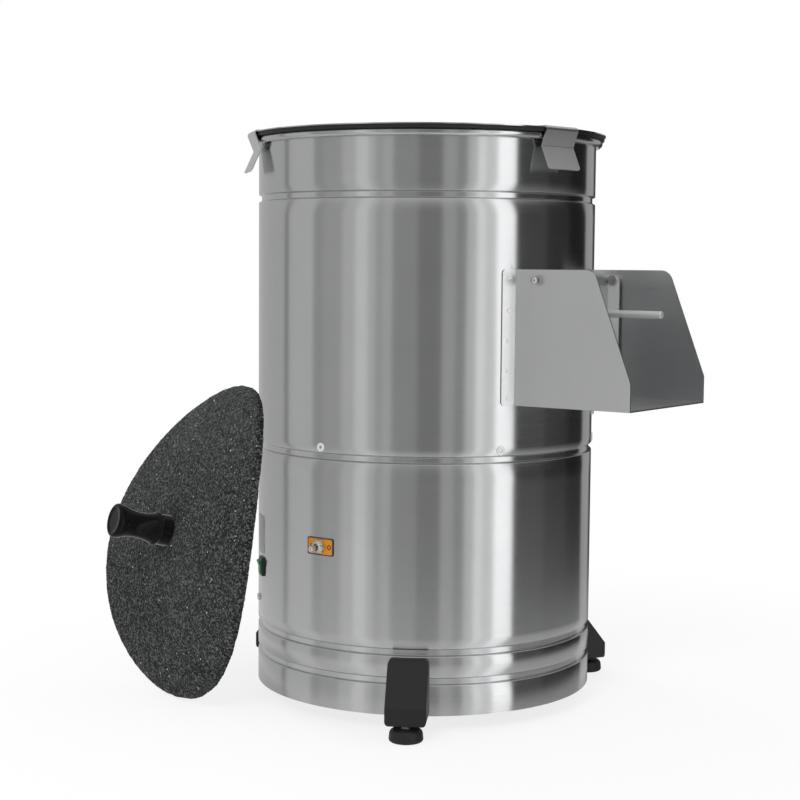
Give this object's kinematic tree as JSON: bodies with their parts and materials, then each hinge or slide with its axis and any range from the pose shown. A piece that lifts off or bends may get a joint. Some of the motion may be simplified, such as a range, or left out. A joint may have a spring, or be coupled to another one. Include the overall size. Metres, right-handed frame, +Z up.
{
  "type": "electric potato peeler",
  "caption": "Floor-standing drum peeler on levelling feet, with a discharge chute and door, a clipped lid, a belt drive, and its abrasive disc leaned on the casing.",
  "frame": {"origin": "on the floor under the drum axis", "axes": "+Z up along the drum axis and its spindle; +X out of the drum through the discharge chute"},
  "size_m": [0.6798, 0.4897, 0.6382],
  "materials": {
    "stainless_brushed": "satin",
    "stainless_satin": "satin",
    "bright_steel": "gloss",
    "zinc_hardware": "satin",
    "brass": "satin",
    "grit": "matte",
    "black_rubber": "matte",
    "white_nylon": "satin",
    "grey_iron": "matte",
    "windings": "satin",
    "grey_paint": "satin",
    "black_paint": "matte",
    "white_plastic": "satin",
    "orange_enamel": "satin",
    "dark_plastic": "satin",
    "green_plastic": "gloss",
    "black_plastic": "gloss"
  },
  "bodies": {
    "machine": {"casing": "stainless_brushed", "abrasive_liner": "grit", "chamber_floor": "stainless_brushed", "floor_rivets": "zinc_hardware", "casing_screws": "zinc_hardware", "drain_spout": "stainless_brushed", "water_inlet": "stainless_brushed", "inlet_nut": "brass", "chute": "stainless_brushed", "chute_rivets": "zinc_hardware", "door_frame": "stainless_brushed", "door_seal": "black_rubber", "pivot_bolts": "zinc_hardware", "pivot_washers": "white_nylon", "pivot_nuts": "zinc_hardware", "bearing_housing": "grey_iron", "spindle_bearings": "bright_steel", "shaft_seal": "black_rubber", "housing_bolts": "zinc_hardware", "v_belt": "black_rubber", "motor_plate": "zinc_hardware", "plate_hangers": "zinc_hardware", "motor_frame": "grey_paint", "motor_top_cover": "grey_paint", "motor_bottom_cover": "grey_paint", "motor_bolts": "zinc_hardware", "stator": "windings", "capacitor": "white_plastic", "capacitor_clamp": "stainless_brushed", "selector_plate": "orange_enamel", "selector_body": "dark_plastic", "selector_nut": "bright_steel", "power_switch": "dark_plastic", "data_plate": "white_plastic", "cable_gland": "dark_plastic", "foot_brackets": "black_paint", "bracket_bolts": "zinc_hardware"},
    "lid": {"lid": "stainless_brushed", "lid_gasket": "black_rubber", "lid_clips": "stainless_satin"},
    "door": {"door": "stainless_satin", "door_handle": "bright_steel"},
    "spindle": {"spindle": "bright_steel", "drive_pin": "bright_steel", "spindle_pulley": "grey_iron", "spindle_nut": "zinc_hardware"},
    "motor_rotor": {"motor_shaft": "bright_steel", "rotor": "grey_iron", "motor_pulley": "grey_iron"},
    "foot_1": {"foot_pad_1": "black_rubber", "foot_stud_1": "zinc_hardware"},
    "foot_2": {"foot_pad_2": "black_rubber", "foot_stud_2": "zinc_hardware"},
    "foot_3": {"foot_pad_3": "black_rubber", "foot_stud_3": "zinc_hardware"},
    "selector": {"selector_lever": "bright_steel"},
    "rocker": {"power_rocker": "green_plastic"},
    "disc": {"abrasive_disc": "grit", "disc_hub": "zinc_hardware", "disc_knob": "black_plastic"}
  },
  "joints": [
    {"name": "lid_lift", "type": "slide", "parent": "machine", "child": "lid", "axis": [0, 0, 1], "range_m": [0, 0.25], "deforming": ["lid_clips"]},
    {"name": "door_hinge", "type": "hinge", "parent": "machine", "child": "door", "pos_m": [0.1995, 0, 0.475], "axis": [0, -1, 0], "range_deg": [0, 80]},
    {"name": "spindle_spin", "type": "hinge", "parent": "machine", "child": "spindle", "pos_m": [0, 0, 0.25], "axis": [0, 0, 1], "continuous": true},
    {"name": "motor_spin", "type": "hinge", "parent": "machine", "child": "motor_rotor", "pos_m": [0, 0.112, 0.15], "axis": [0, 0, 1], "continuous": true},
    {"name": "foot_1_level", "type": "slide", "parent": "machine", "child": "foot_1", "axis": [0, 0, -1], "range_m": [0, 0.01]},
    {"name": "foot_2_level", "type": "slide", "parent": "machine", "child": "foot_2", "axis": [0, 0, -1], "range_m": [0, 0.01]},
    {"name": "foot_3_level", "type": "slide", "parent": "machine", "child": "foot_3", "axis": [0, 0, -1], "range_m": [0, 0.01]},
    {"name": "selector_flip", "type": "hinge", "parent": "machine", "child": "selector", "pos_m": [0, -0.196, 0.191], "axis": [0, 0, -1], "range_deg": [0, 26]},
    {"name": "rocker_tip", "type": "hinge", "parent": "machine", "child": "rocker", "pos_m": [-0.11325, -0.15194, 0.152], "axis": [-0.8018, 0.5976, 0], "range_deg": [0, 18]},
    {"name": "disc_lift", "type": "slide", "parent": "machine", "child": "disc", "axis": [-0.3009, -0.7089, 0.6379], "range_m": [0, 0.25]}
  ],
  "couplings": [
    {"joint": "motor_spin", "follows": "spindle_spin", "ratio": 4}
  ]
}
